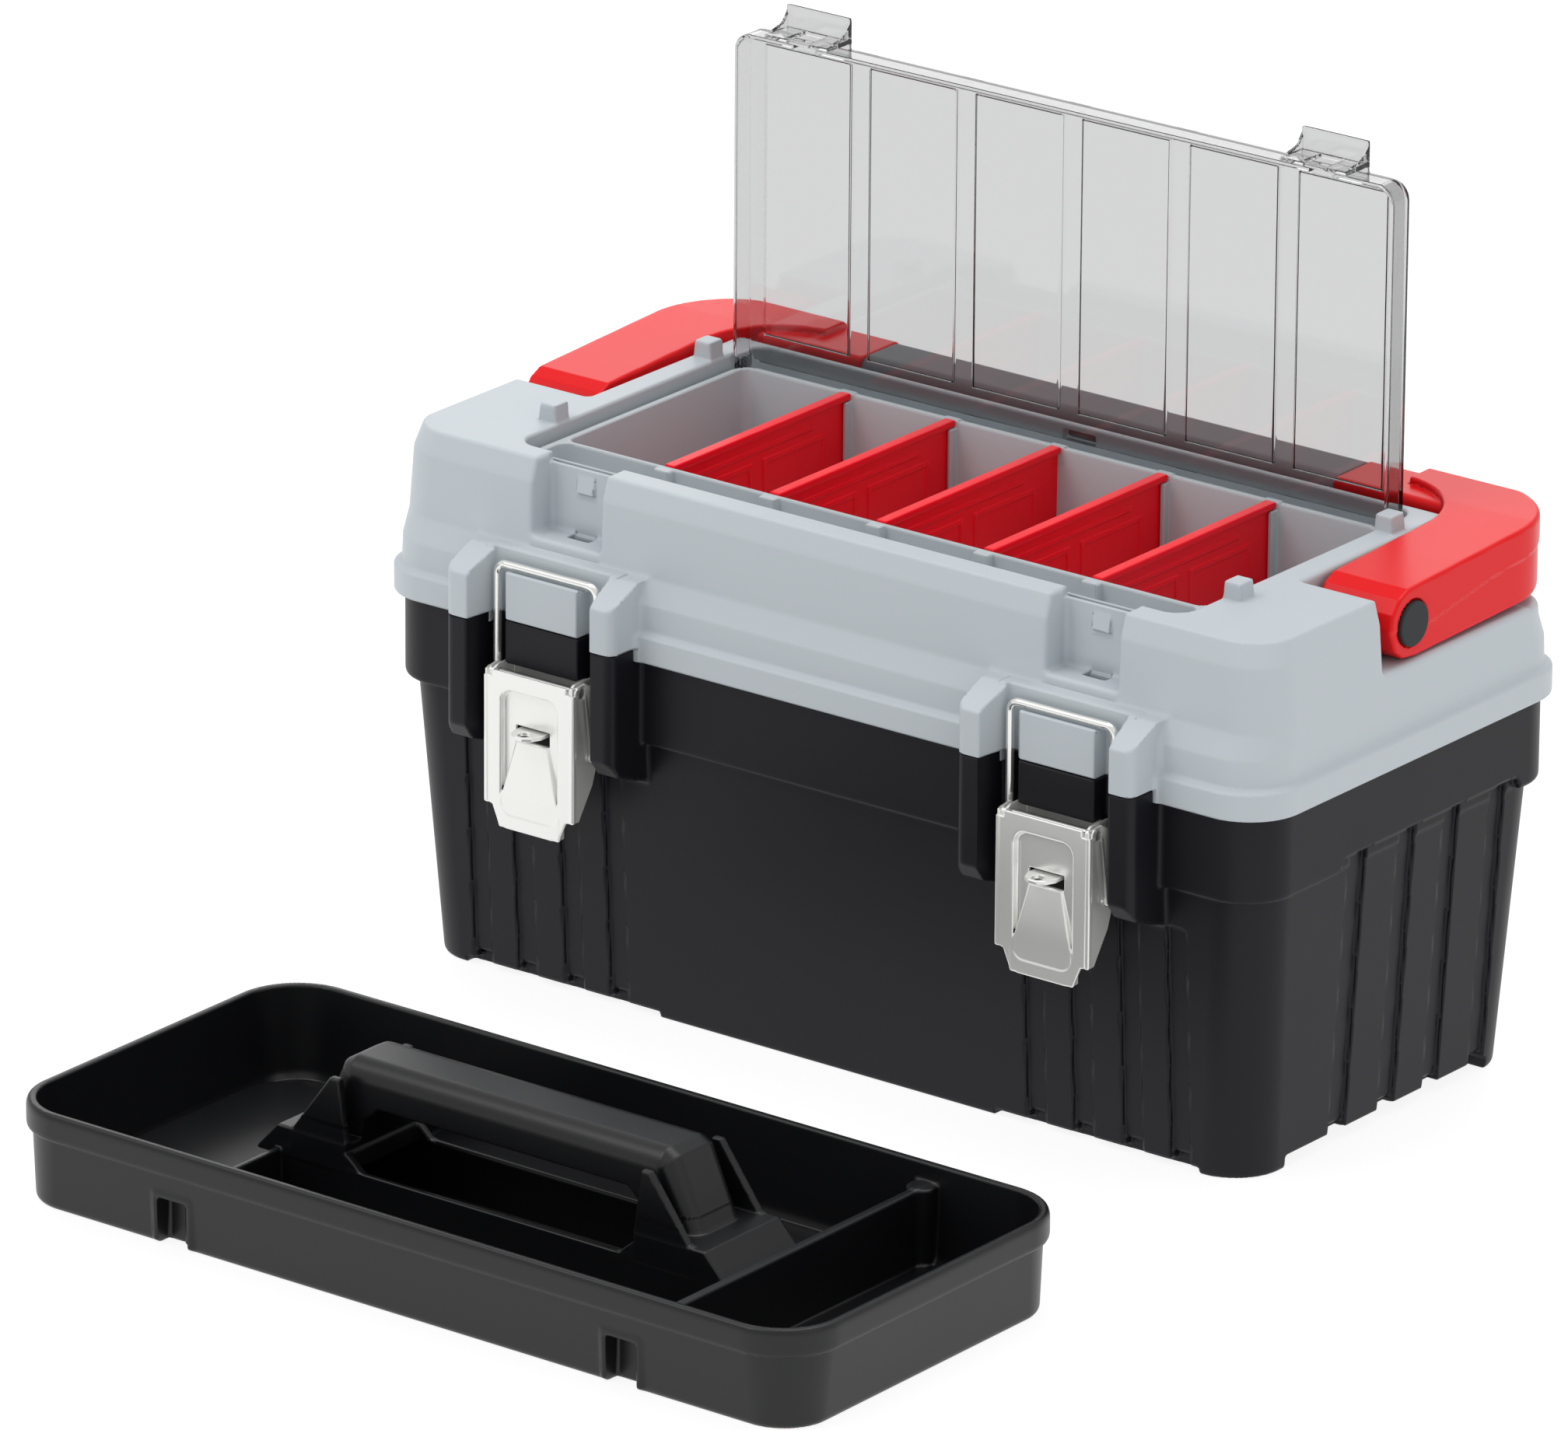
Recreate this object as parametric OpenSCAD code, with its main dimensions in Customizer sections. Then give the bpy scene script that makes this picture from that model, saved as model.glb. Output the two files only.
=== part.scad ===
/* [Case] */
// overall length of the case over the lid skirt (mm)
case_len = 480; // [400:1:560]
// overall depth of the case over the lid skirt (mm)
case_dep = 229; // [190:1:270]
// height of the line where lid and base meet (mm)
line_z = 169; // [140:1:190]
// height of the flat top of the lid (mm)
top_z = 244; // [230:1:260]
// depth of the raised front field of the base at floor level (mm, half)
foot_y = 98.6; // [90:0.1:104]
// half length of the base at floor level (mm)
foot_x = 224; // [210:1:230]
// base wall thickness (mm)
wall = 3.5; // [2.5:0.1:5]

/* [Latches] */
// distance of each latch centre from the middle (mm)
latch_x = 138.5; // [120:0.5:150]
// latch wire diameter (mm)
wire_d = 3.8; // [2.5:0.1:5]
// latch lever width (mm)
lever_w = 49; // [40:1:54]

/* [Organiser] */
// pitch of the organiser dividers (mm)
div_pitch = 57.5; // [50:0.5:58]
// divider plate thickness (mm)
div_t = 1.8; // [1.2:0.1:2.4]
// length of the clear cover from its hinge line to its free edge (mm)
cover_len = 156.3; // [150:0.1:157]

/* [Handle] */
// height of the carrying handle pivot (mm)
pivot_z = 228; // [224:0.5:230]
// outer half width of the handle arms (mm)
arm_out = 235; // [225:1:236]
// width of one handle arm (mm)
arm_w = 40; // [25:1:41]

/* [Tray] */
// tray rim length (mm)
tray_len = 424; // [380:1:430]
// tray rim depth (mm)
tray_dep = 191; // [160:1:195]
// tray wall height (mm)
tray_h = 45; // [35:1:60]

/* [Hidden] */
$fn = 48;
hx = case_len / 2;
hy = case_dep / 2;
wr = wire_d / 2;
// latch lever pivot and wire pivot
pv_y = -124.5;
pv_z = 152;
wp_y = -117.5;
wp_z = 120.5;
bar_z = 199;
latch_z = 175;
pocket_y = -113;
// cover hinge line
ch_y = 68;
ch_z = 237;
// lid hinge line
lh_y = 120.5;
lh_z = line_z + 2;
// tray centre on the floor
tc_x = 32.6;
tc_y = -340.5;

// ---- helpers ----
module bx(x0, x1, y0, y1, z0, z1) translate([x0, y0, z0]) cube([x1 - x0, y1 - y0, z1 - z0]);
module rr(x0, x1, y0, y1, r) union() {
  translate([x0 + r, y0]) square([x1 - x0 - 2 * r, y1 - y0]);
  translate([x0, y0 + r]) square([x1 - x0, y1 - y0 - 2 * r]);
  for (x = [x0 + r, x1 - r], y = [y0 + r, y1 - r]) translate([x, y]) circle(r);
}
module rbox(x0, x1, y0, y1, r, z0, z1) translate([0, 0, z0]) linear_extrude(z1 - z0) rr(x0, x1, y0, y1, r);
// thin slab used only inside hull()
module slab(ax, ay, r, z) translate([0, 0, z]) linear_extrude(0.2) rr(-ax, ax, -ay, ay, r, $fn = 32);
// profile in (y, z) extruded along x
module yz(x0, x1) translate([x0, 0, 0]) rotate([90, 0, 90]) linear_extrude(x1 - x0) children();
// profile in (x, z) extruded along y from y0 (front) to y1 (back)
module xz(y0, y1) translate([0, y1, 0]) rotate([90, 0, 0]) linear_extrude(y1 - y0) children();
module rodx(x0, x1, y, z, r) translate([x0, y, z]) rotate([0, 90, 0]) cylinder(r = r, h = x1 - x0);
// repeat a latch feature at both latch positions
module latches() for (s = [-1, 1]) translate([s * latch_x, 0, 0]) children();
module ends() for (s = [0, 1]) mirror([s, 0, 0]) children();

// ---- base ----
module base_tub() color([0.17, 0.17, 0.18]) difference() {
  union() {
    difference() {
      union() {
        hull() { slab(foot_x, foot_y, 24, 0); slab(foot_x + 8, 106, 24, 130); }
        rbox(-hx + 4, hx - 4, -hy + 4, hy - 4, 24, 130, line_z);
      }
      hull() {
        slab(foot_x - wall - 1, foot_y - wall - 1, 20, 4);
        slab(hx - 10, hy - 10, 20, line_z + 1);
      }
    }
    // raised floor over the notches under both ends
    ends() bx(206, foot_x - 2, -62, 66, 2, 9.5);
    // latch posts, the wall behind the pocket and the block under the catch
    latches() {
      for (s = [-1, 1]) translate([s * 40.25, 0, 0]) yz(-6.25, 6.25)
        polygon([[-104, 112], [-114, 114.5], [-126, 118.5], [-131.5, 125], [-131.5, latch_z], [-115.1, latch_z], [-115.1, line_z], [-104, line_z]]);
      bx(-40, 40, -107, -101.5, 112, line_z);
      bx(-36, 36, pocket_y, -104.9, 128, line_z - 1);
      bx(-34, 34, pocket_y, -104.9, 160, latch_z);
      bx(-20, 20, -122, pocket_y + 1, 155.5, latch_z);
    }
    // knuckles of the rear hinge
    for (s = [-1, 1], t = [-1, 1]) translate([s * 150 + t * 14.7, 0, 0]) {
      rodx(-5, 5, lh_y, lh_z, 5);
      yz(-5, 5) polygon([[108, 148], [112, 148], [125.5, 163], [125.5, lh_z], [115.5, lh_z], [115.5, 168.8], [108, 168.8]]);
    }
  }
  // notches under both ends
  ends() bx(212, 240, -58, 62, -1, 5.5);
  // stepped lower edge of the rim band on the ends
  ends() bx(hx - 7, hx, -48, 78, 129, 136);
  // upright grooves in the front and rear walls
  for (m = [0, 1]) mirror([0, m, 0]) for (x = [-186.5, -164, -139, -113, 113, 139, 164, 186.5])
    translate([x - 1.5, -foot_y - 1, 3]) rotate([3.26, 0, 0]) cube([3, 2.5, 100]);
  // upright grooves in the end walls
  ends() for (y = [-38, -3, 29, 58])
    translate([foot_x - 1.5, y - 1.5, 8]) rotate([0, 3.52, 0]) cube([2.5, 3, 112]);
  // bores of the rear hinge
  for (s = [-1, 1]) rodx(s * 150 - 21, s * 150 + 21, lh_y, lh_z, 2.5);
}

module lid_hinge_pins() color([0.75, 0.75, 0.74])
  for (s = [-1, 1]) rodx(s * 150 - 20, s * 150 + 20, lh_y, lh_z, 2.5);

// metal plate on the base with the lugs of the lever pin and the padlock eye
module latch_plate() {
  difference() {
    union() {
      bx(-22, 22, pocket_y - 1.5, pocket_y, 128.5, 155);
      ends() yz(20.5, 22) {
        translate([pv_y, pv_z]) circle(4.2);
        translate([pv_y, pv_z - 4.2]) square([10.8, 8.4]);
      }
      difference() {
        bx(-7, 7, -138, pocket_y - 1, 128.5, 130.5);
        translate([0, -133.4, 128]) cylinder(d = 6, h = 3);
      }
    }
    rodx(-30, 30, pv_y, pv_z, 2);
    bx(-20.2, 20.2, -130, pocket_y - 1.6, 144, 160);
  }
}
module latch_plate_left() color([0.8, 0.8, 0.79]) translate([-latch_x, 0, 0]) latch_plate();
module latch_plate_right() color([0.8, 0.8, 0.79]) translate([latch_x, 0, 0]) latch_plate();
module latch_pin_left() color([0.7, 0.7, 0.7]) rodx(-latch_x - 24.4, -latch_x + 24.4, pv_y, pv_z, 2);
module latch_pin_right() color([0.7, 0.7, 0.7]) rodx(latch_x - 24.4, latch_x + 24.4, pv_y, pv_z, 2);

// ---- lid ----
module lid_shell() difference() {
  union() {
    rbox(-hx, hx, -hy, hy, 26, line_z, 182);
    hull() { slab(hx - 3, hy - 3.2, 24, 181.8); slab(hx - 3, hy - 3.5, 24, 194.8); slab(hx - 3.5, hy - 9, 23, 204.3); }
    hull() { slab(hx - 3.5, hy - 9.2, 23, 204); slab(hx - 6.5, hy - 10, 21, 233.3); slab(hx - 9, hy - 13.5, 20, top_z - 0.2); }
  }
  // underside
  rbox(-232.5, 232.5, -107, 107, 20, line_z - 1, 190);
  rbox(-229.5, 229.5, -101.5, 101.5, 18, 189, 206.5);
  bx(-112, 112, -100, -92.5, 200, 240.5);
  bx(-175, 175, 83.5, 85, 200, 240);
  ends() bx(182, 218, -88, -25, 200, 240.5);
}
module main_lid() color([0.72, 0.74, 0.76]) union() {
  difference() {
    union() {
      lid_shell();
      latches() {
        for (s = [-1, 1]) translate([s * 40.25, 0, 0]) yz(-6.25, 6.25)
          polygon([[-103, line_z], [-114.9, line_z], [-114.9, latch_z], [-131.5, latch_z], [-131.5, 194.5], [-129, 197.2], [-113.5, 204.8], [-103, 205.5]]);
        bx(-40, 40, pocket_y, -101.5, latch_z, 205);
      }
      // hinge knuckles
      for (s = [-1, 1]) translate([s * 150, 0, 0]) {
        rodx(-9.4, 9.4, lh_y, lh_z, 5);
        yz(-9.4, 9.4) polygon([[108, 170], [114, 170], [116, lh_z - 1], [125.5, lh_z], [124, 175], [112, 188], [108, 188]]);
      }
    }
    // shelf for the organiser and the clear cover
    rbox(-178.5, 178.5, -88.7, 80, 10, 227, 260);
    // opening the organiser hangs through
    rbox(-173.4, 173.4, -65.5, 65.5, 6, 195, 230);
    // space of the folded handle
    ends() bx(192, 250, -22, 130, 211.5, 260);
    bx(-250, 250, 85, 130, 211.5, 260);
    // pockets of the cover clips
    latches() bx(-20, 20, -130, -90.4, 209.5, 260);
    latches() bx(-20, 20, -90.6, -88, 239.7, 260);
    latches() bx(-6, 6, -96, -91, 205, 212);
    // pockets between the latch posts
    latches() yz(-34, 34) polygon([[-140, 160], [-104.5, 160], [-104.5, latch_z], [pocket_y, latch_z], [pocket_y, 207], [-140, 207]]);
    // bores: cover hinge stubs, handle pins, lid hinge pins
    ends() rodx(176, 183.6, ch_y, ch_z, 2.6);
    ends() rodx(181.5, 250, 0, pivot_z, 6);
    for (s = [-1, 1]) rodx(s * 150 - 21, s * 150 + 21, lh_y, lh_z, 2.56);
  }
  // catch blocks with a low lip that keeps the wire in place
  latches() {
    bx(-20, 20, -122, pocket_y + 1, latch_z + 0.4, 196);
    bx(-20, 20, -122, -120.4, 195, 197.4);
  }
  // snap wedges of the cover clips
  latches() yz(-4, 4) polygon([[-90, 227.5], [-92, 228], [-92.2, 229], [-90.4, 236], [-90, 236]]);
  // stacking pegs
  for (x = [-184, 184], y = [-56, 53]) translate([x, y, top_z - 1]) {
    translate([-5, -5, 0]) cube([10, 10, 4]);
    translate([-4.2, -4.2, 3]) cube([8.4, 8.4, 6]);
  }
}

// ---- organiser ----
module organiser_bin() color([0.55, 0.57, 0.6]) union() {
  difference() {
    union() {
      rbox(-174.5, 174.5, -85.5, 66, 10, 227, 239);
      rbox(-173, 173, -65, 65, 6, 188, 230);
    }
    rbox(-171, 171, -63, 63, 5, 190, 250);
    rbox(-171, 171, -83.5, -65, 6, 229, 250);
  }
  // paired ribs that hold each divider
  for (k = [-2:2], s = [-1, 1]) translate([k * div_pitch, 0, 0]) {
    bx(s * 2.3 - 1.1, s * 2.3 + 1.1, -63.5, -58.5, 189, 236);
    bx(s * 2.3 - 1.1, s * 2.3 + 1.1, 58.5, 63.5, 189, 236);
  }
}
module divider(k) color([0.84, 0.1, 0.16]) translate([k * div_pitch, 0, 0]) union() {
  bx(-div_t / 2, div_t / 2, -62.6, 62.6, 190.4, 237);
  bx(-2.75, 2.75, -62.6, 62.6, 236.4, 239.5);
  // bar and two frames on both faces
  bx(-div_t / 2 - 0.5, div_t / 2 + 0.5, -54, 54, 229, 231.5);
  for (y = [-48, 4]) difference() {
    bx(-div_t / 2 - 0.5, div_t / 2 + 0.5, y, y + 44, 197, 225);
    bx(-5, 5, y + 2, y + 42, 199, 223);
  }
  bx(-div_t / 2, div_t / 2, -50, 50, 196, 226);
}
module divider_1() divider(-2);
module divider_2() divider(-1);
module divider_3() divider(0);
module divider_4() divider(1);
module divider_5() divider(2);

// plate with two rounded upper corners, in (x, z)
module cover_outline(w, z0, z1, r) union() {
  translate([-w, z0]) square([2 * w, z1 - z0 - r]);
  translate([-w + r, z0]) square([2 * (w - r), z1 - z0]);
  for (s = [-1, 1]) translate([s * (w - r), z1 - r]) circle(r);
}
module clear_cover() color([0.82, 0.84, 0.86, 0.35]) union() {
  difference() {
    union() {
      xz(61, 73) difference() {
        cover_outline(177, 240, ch_z + cover_len, 8.5);
        cover_outline(175, 239, ch_z + cover_len - 2, 6.5);
      }
      xz(71, 73) cover_outline(177, 240, ch_z + cover_len, 8.5);
    }
    // shallow panels between the ribs
    for (k = [-2.5:1:2.5]) bx(k * div_pitch - 23.5, k * div_pitch + 23.5, 72.4, 80, 253, 387);
  }
  // hinge ears and stubs
  ends() {
    bx(175, 177.6, 64, 73, 233.5, 242);
    rodx(175, 183, ch_y, ch_z, 2.5);
  }
  // moulded snap clips
  latches() {
    bx(-17.5, 17.5, 71, 73, ch_z + cover_len - 2, 407.5);
    difference() {
      bx(-17.5, 17.5, 55, 73, 395.7, 397.5);
      bx(-5, 5, 57.5, 69.5, 390, 400);
    }
    for (x = [-17.5, 15.7]) yz(x, x + 1.8) polygon([[59, 397], [73, 397], [73, 406]]);
  }
}

// ---- carrying handle ----
module handle_side() union() {
  translate([0, pivot_z]) circle(16);
  polygon([[0, 212], [118, 215], [122, 220], [122, 245], [118, 248.8], [90, 248.5], [0, 244]]);
}
module handle_bail() color([0.9, 0.15, 0.17]) difference() {
  union() {
    intersection() {
      yz(-arm_out, arm_out) handle_side();
      translate([0, 0, 200]) linear_extrude(60) difference() {
        union() {
          translate([-arm_out, -30]) square([2 * arm_out, 108]);
          rr(-arm_out, arm_out, 0, 122, 44);
        }
        union() {
          translate([-arm_out + arm_w, -40]) square([2 * (arm_out - arm_w), 110]);
          rr(-arm_out + arm_w, arm_out - arm_w, 20, 90, 8);
        }
        translate([-128, 80]) square([256, 60]);
      }
    }
    // core under the grip
    yz(-129, 129) translate([96, 223]) square([20, 19]);
  }
  // bores of the pivot pins with their counterbores
  ends() rodx(180, 250, 0, pivot_z, 6.08);
  ends() rodx(232.2, 250, 0, pivot_z, 10.3);
}
module handle_grip() color([0.4, 0.4, 0.41]) yz(-128, 128) difference() {
  rr(90, 122, 216, 249, 7);
  translate([96, 223]) square([20, 19]);
}
module handle_pivot() union() {
  rodx(182, 233, 0, pivot_z, 6);
  rodx(232.5, 235.4, 0, pivot_z, 10);
}
module handle_pivot_left() color([0.24, 0.26, 0.27]) mirror([1, 0, 0]) handle_pivot();
module handle_pivot_right() color([0.24, 0.26, 0.27]) handle_pivot();

// ---- draw latches ----
module latch_lever() {
  w = lever_w / 2;
  difference() {
    union() {
      xz(-130.5, -129) polygon([[-w, 155], [w, 155], [w, 94], [w - 4.5, 92.5], [15, 83.5], [-15, 83.5], [-w + 4.5, 92.5], [-w, 94]]);
      ends() yz(w - 1.5, w) polygon([[-130.5, 155], [-122, 156.5], [-115.6, 152.5], [-113.6, 146], [-113.6, 116], [-116.5, 108], [-126, 93], [-130.5, 92]]);
      // turned lip at the tip
      bx(-14, 14, -130.5, -126, 83.5, 85);
      // floor of the pressed field
      bx(-16.5, 16.5, -129.5, -126.8, 97, 148);
    }
    bx(-15, 15, -132, -128.3, 98.5, 146.5);
    bx(-9, 9, -134, -122, 124.4, 131.2);
    rodx(-30, 30, pv_y, pv_z, 2.05);
    rodx(-30, 30, wp_y, wp_z, wr + 0.06);
  }
}
module latch_lever_left() color([0.85, 0.85, 0.84]) translate([-latch_x, 0, 0]) latch_lever();
module latch_lever_right() color([0.85, 0.85, 0.84]) translate([latch_x, 0, 0]) latch_lever();

module latch_wire() {
  xw = lever_w / 2 + wr + 1;
  rodx(-xw + 4, xw - 4, wp_y, bar_z, wr);
  ends() {
    translate([xw, wp_y, wp_z]) cylinder(r = wr, h = bar_z - 4 - wp_z);
    translate([xw - 4, wp_y, bar_z - 4]) rotate([90, 0, 0]) rotate_extrude(angle = 90) translate([4, 0]) circle(wr);
    translate([xw, wp_y, wp_z]) sphere(wr);
    rodx(lever_w / 2 - 3, xw, wp_y, wp_z, wr);
  }
}
module latch_wire_left() color([0.88, 0.88, 0.87]) translate([-latch_x, 0, 0]) latch_wire();
module latch_wire_right() color([0.88, 0.88, 0.87]) translate([latch_x, 0, 0]) latch_wire();

// ---- lift-out tray, standing on the floor in front of the case ----
module tool_tray() color([0.13, 0.13, 0.14]) translate([tc_x, tc_y, 0]) {
  tx = tray_len / 2;
  ty = tray_dep / 2;
  difference() {
    union() {
      hull() { slab(tx - 4.7, ty - 5, 22, 0); slab(tx - 2.2, ty - 2.2, 27, 33); }
      rbox(-tx, tx, -ty, ty, 30, 33, tray_h);
    }
    hull() { slab(tx - 7.5, ty - 7.8, 20, 3); slab(tx - 3.5, ty - 3.5, 26, tray_h); }
    // stacking notches in the long walls
    for (x = [-119.5, 119]) bx(x - 6, x + 6, -ty - 1, -ty + 7, -1, 2);
  }
  // cross walls
  bx(135, 139.5, -ty + 5, ty - 5, 2, 37);
  bx(-114.5, -111, -ty + 5, ty - 5, 2, 28);
  // twin walls that carry the handle
  for (y = [-30, 18]) bx(-113, 137, y, y + 3, 2, 27);
  // feet of the handle: a stepped block and a fin in the plane of each twin wall
  ends_t() {
    xz(-30, 21) polygon([[76, 24], [125, 24], [125, 26], [113, 38], [76, 38]]);
    for (y = [-30, 17]) xz(y, y + 4)
      polygon([[68, 24], [107, 24], [107, 38], [105.5, 38.5], [85, 66], [80.5, 66], [76, 34], [68, 27]]);
  }
  // raised floor of the left compartment
  bx(-200, -113, -70, 70, 2, 7);
  // handle
  xz(-21, 13) difference() {
    polygon([[-104, 30], [-88.5, 69], [-83, 72], [83, 72], [88.5, 69], [104, 30]]);
    polygon([[-76, 20], [-76, 34], [-74, 46], [-66, 53], [66, 53], [74, 46], [76, 34], [76, 20]]);
  }
}
module ends_t() for (s = [0, 1]) mirror([s, 0, 0]) children();

base_tub();
lid_hinge_pins();
latch_plate_left();
latch_plate_right();
latch_pin_left();
latch_pin_right();
main_lid();
organiser_bin();
divider_1();
divider_2();
divider_3();
divider_4();
divider_5();
clear_cover();
handle_bail();
handle_grip();
handle_pivot_left();
handle_pivot_right();
latch_lever_left();
latch_lever_right();
latch_wire_left();
latch_wire_right();
tool_tray();
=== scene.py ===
import math
import time
from concurrent.futures import ThreadPoolExecutor

import bpy
import numpy as np
from mathutils import Matrix, Vector


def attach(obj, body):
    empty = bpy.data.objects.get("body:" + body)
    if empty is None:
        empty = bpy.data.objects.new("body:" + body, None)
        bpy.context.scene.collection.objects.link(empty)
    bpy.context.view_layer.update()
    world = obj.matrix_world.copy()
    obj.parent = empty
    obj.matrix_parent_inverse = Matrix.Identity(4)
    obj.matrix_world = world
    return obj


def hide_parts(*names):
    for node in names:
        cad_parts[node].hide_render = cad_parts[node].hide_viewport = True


T0 = time.time()
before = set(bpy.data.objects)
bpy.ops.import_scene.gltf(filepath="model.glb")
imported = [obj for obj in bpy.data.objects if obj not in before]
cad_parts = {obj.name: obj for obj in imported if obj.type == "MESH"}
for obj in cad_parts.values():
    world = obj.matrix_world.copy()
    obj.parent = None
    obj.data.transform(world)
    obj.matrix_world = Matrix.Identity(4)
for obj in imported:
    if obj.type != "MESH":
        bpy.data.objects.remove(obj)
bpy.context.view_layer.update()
F = np.float32


# ---------------------------------------------------------------- shapes
def sq(a):
    return a * a


def rr2(x, y, hx, hy, r):
    qx = np.abs(x) - (hx - r)
    qy = np.abs(y) - (hy - r)
    return (np.sqrt(sq(np.maximum(qx, 0)) + sq(np.maximum(qy, 0)))
            + np.minimum(np.maximum(qx, qy), 0) - r)


def ext(d, w, e):
    a = d + e
    b = w + e
    return (np.minimum(np.maximum(a, b), 0)
            + np.sqrt(sq(np.maximum(a, 0)) + sq(np.maximum(b, 0))) - e)


def box(x0, x1, y0, y1, z0, z1, e=0.8):
    c = ((x0 + x1) / 2, (y0 + y1) / 2, (z0 + z1) / 2)
    h = ((x1 - x0) / 2, (y1 - y0) / 2, (z1 - z0) / 2)
    e = min(e, *h)

    def f(x, y, z):
        qx = np.abs(x - c[0]) - (h[0] - e)
        qy = np.abs(y - c[1]) - (h[1] - e)
        qz = np.abs(z - c[2]) - (h[2] - e)
        return (np.sqrt(sq(np.maximum(qx, 0)) + sq(np.maximum(qy, 0)) + sq(np.maximum(qz, 0)))
                + np.minimum(np.maximum(np.maximum(qx, qy), qz), 0) - e)
    return f, (x0, y0, z0), (x1, y1, z1)


def rbox(x0, x1, y0, y1, r, z0, z1, e=0.8):
    cx, cy, cz = (x0 + x1) / 2, (y0 + y1) / 2, (z0 + z1) / 2

    def f(x, y, z):
        return ext(rr2(x - cx, y - cy, (x1 - x0) / 2, (y1 - y0) / 2, r),
                   np.abs(z - cz) - (z1 - z0) / 2, e)
    return f, (x0, y0, z0), (x1, y1, z1)


def loft(prof, e=1.0, cx=0.0, cy=0.0, soft=0.8):
    """Rounded rectangle whose half sizes and corner radius follow a profile over z."""
    p = np.array(prof, float)
    t = np.linspace(0, 1, 1600)
    seg = np.concatenate([[0], np.cumsum(np.hypot(np.diff(p[:, 0]), np.diff(p[:, 2])) + 1e-6)])
    s = t * seg[-1]
    q = np.stack([np.interp(s, seg, p[:, i]) for i in range(4)], 1)
    step = seg[-1] / 1599
    n = max(int(3 * soft / step), 1)
    g = np.exp(-0.5 * (np.arange(-n, n + 1) * step / soft) ** 2)
    g /= g.sum()
    pad = np.concatenate([2 * q[:1] - q[n:0:-1], q, 2 * q[-1:] - q[-2:-n - 2:-1]])
    q = np.stack([np.convolve(pad[:, i], g, "valid") for i in range(4)], 1)
    zz = np.maximum.accumulate(q[:, 0] + np.arange(1600) * 1e-7)
    z0, z1 = prof[0][0], prof[-1][0]
    mx, my = p[:, 1].max(), p[:, 2].max()

    def f(x, y, z):
        a = np.interp(z, zz, q[:, 1]).astype(z.dtype)
        b = np.interp(z, zz, q[:, 2]).astype(z.dtype)
        r = np.interp(z, zz, q[:, 3]).astype(z.dtype)
        return ext(rr2(x - cx, y - cy, a, b, r), np.maximum(z0 - z, z - z1), e)
    return f, (cx - mx, cy - my, z0), (cx + mx, cy + my, z1)


def inset(pts, rc):
    """The polygon moved inwards by rc, so that growing it again rounds its corners."""
    p = [np.array(v, float) for v in pts]
    area = sum(p[i - 1][0] * p[i][1] - p[i][0] * p[i - 1][1] for i in range(len(p)))
    s = 1.0 if area > 0 else -1.0
    out = []
    for i in range(len(p)):
        a, b, c = p[i - 1], p[i], p[(i + 1) % len(p)]
        d1 = (b - a) / np.linalg.norm(b - a)
        d2 = (c - b) / np.linalg.norm(c - b)
        n1 = np.array([-d1[1], d1[0]]) * s
        n2 = np.array([-d2[1], d2[0]]) * s
        den = 1 + float(n1 @ n2)
        out.append(b + (n1 + n2) * (rc / max(den, 0.15)))
    return out


def sdpoly(px, py, v):
    d = sq(px - v[0][0]) + sq(py - v[0][1])
    s = np.ones(d.shape, bool)
    n = len(v)
    for i in range(n):
        a, b = v[i], v[i - 1]
        ex, ey = b[0] - a[0], b[1] - a[1]
        wx, wy = px - a[0], py - a[1]
        t = np.clip((wx * ex + wy * ey) / (ex * ex + ey * ey), 0, 1)
        d = np.minimum(d, sq(wx - ex * t) + sq(wy - ey * t))
        c1 = py >= a[1]
        c2 = py < b[1]
        c3 = ex * wy > ey * wx
        flip = (c1 & c2 & c3) | (~c1 & ~c2 & ~c3)
        s = s ^ flip
    return np.where(s, 1, -1) * np.sqrt(d)


def poly(axis, pts, a0, a1, e=0.8, rc=0.0):
    """Polygon extruded along axis. Its points are in the other two axes, in x, y, z order."""
    v = inset(pts, rc) if rc else [np.array(q, float) for q in pts]
    v = [(float(q[0]), float(q[1])) for q in v]
    u0, w0 = min(q[0] for q in pts), min(q[1] for q in pts)
    u1, w1 = max(q[0] for q in pts), max(q[1] for q in pts)
    c, h = (a0 + a1) / 2, (a1 - a0) / 2

    def f(x, y, z):
        u, w, t = {"x": (y, z, x), "y": (x, z, y), "z": (x, y, z)}[axis]
        d = sdpoly(u, w, v) - rc
        return ext(d, np.abs(t - c) - h, e)
    if axis == "x":
        return f, (a0, u0, w0), (a1, u1, w1)
    if axis == "y":
        return f, (u0, a0, w0), (u1, a1, w1)
    return f, (u0, w0, a0), (u1, w1, a1)


def cyl(axis, u, w, r, a0, a1, e=0.4):
    c, h = (a0 + a1) / 2, (a1 - a0) / 2

    def f(x, y, z):
        p, q, t = {"x": (y, z, x), "y": (x, z, y), "z": (x, y, z)}[axis]
        return ext(np.sqrt(sq(p - u) + sq(q - w)) - r, np.abs(t - c) - h, e)
    if axis == "x":
        return f, (a0, u - r, w - r), (a1, u + r, w + r)
    if axis == "y":
        return f, (u - r, a0, w - r), (u + r, a1, w + r)
    return f, (u - r, w - r, a0), (u + r, w + r, a1)


def tube(pts, r):
    p = np.array(pts, float)

    def f(x, y, z):
        d = None
        for a, b in zip(p[:-1], p[1:]):
            e = b - a
            wx, wy, wz = x - a[0], y - a[1], z - a[2]
            t = np.clip((wx * e[0] + wy * e[1] + wz * e[2]) / float(e @ e), 0, 1)
            q = sq(wx - e[0] * t) + sq(wy - e[1] * t) + sq(wz - e[2] * t)
            d = q if d is None else np.minimum(d, q)
        return np.sqrt(d) - r
    return f, tuple(p.min(0) - r), tuple(p.max(0) + r)


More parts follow.
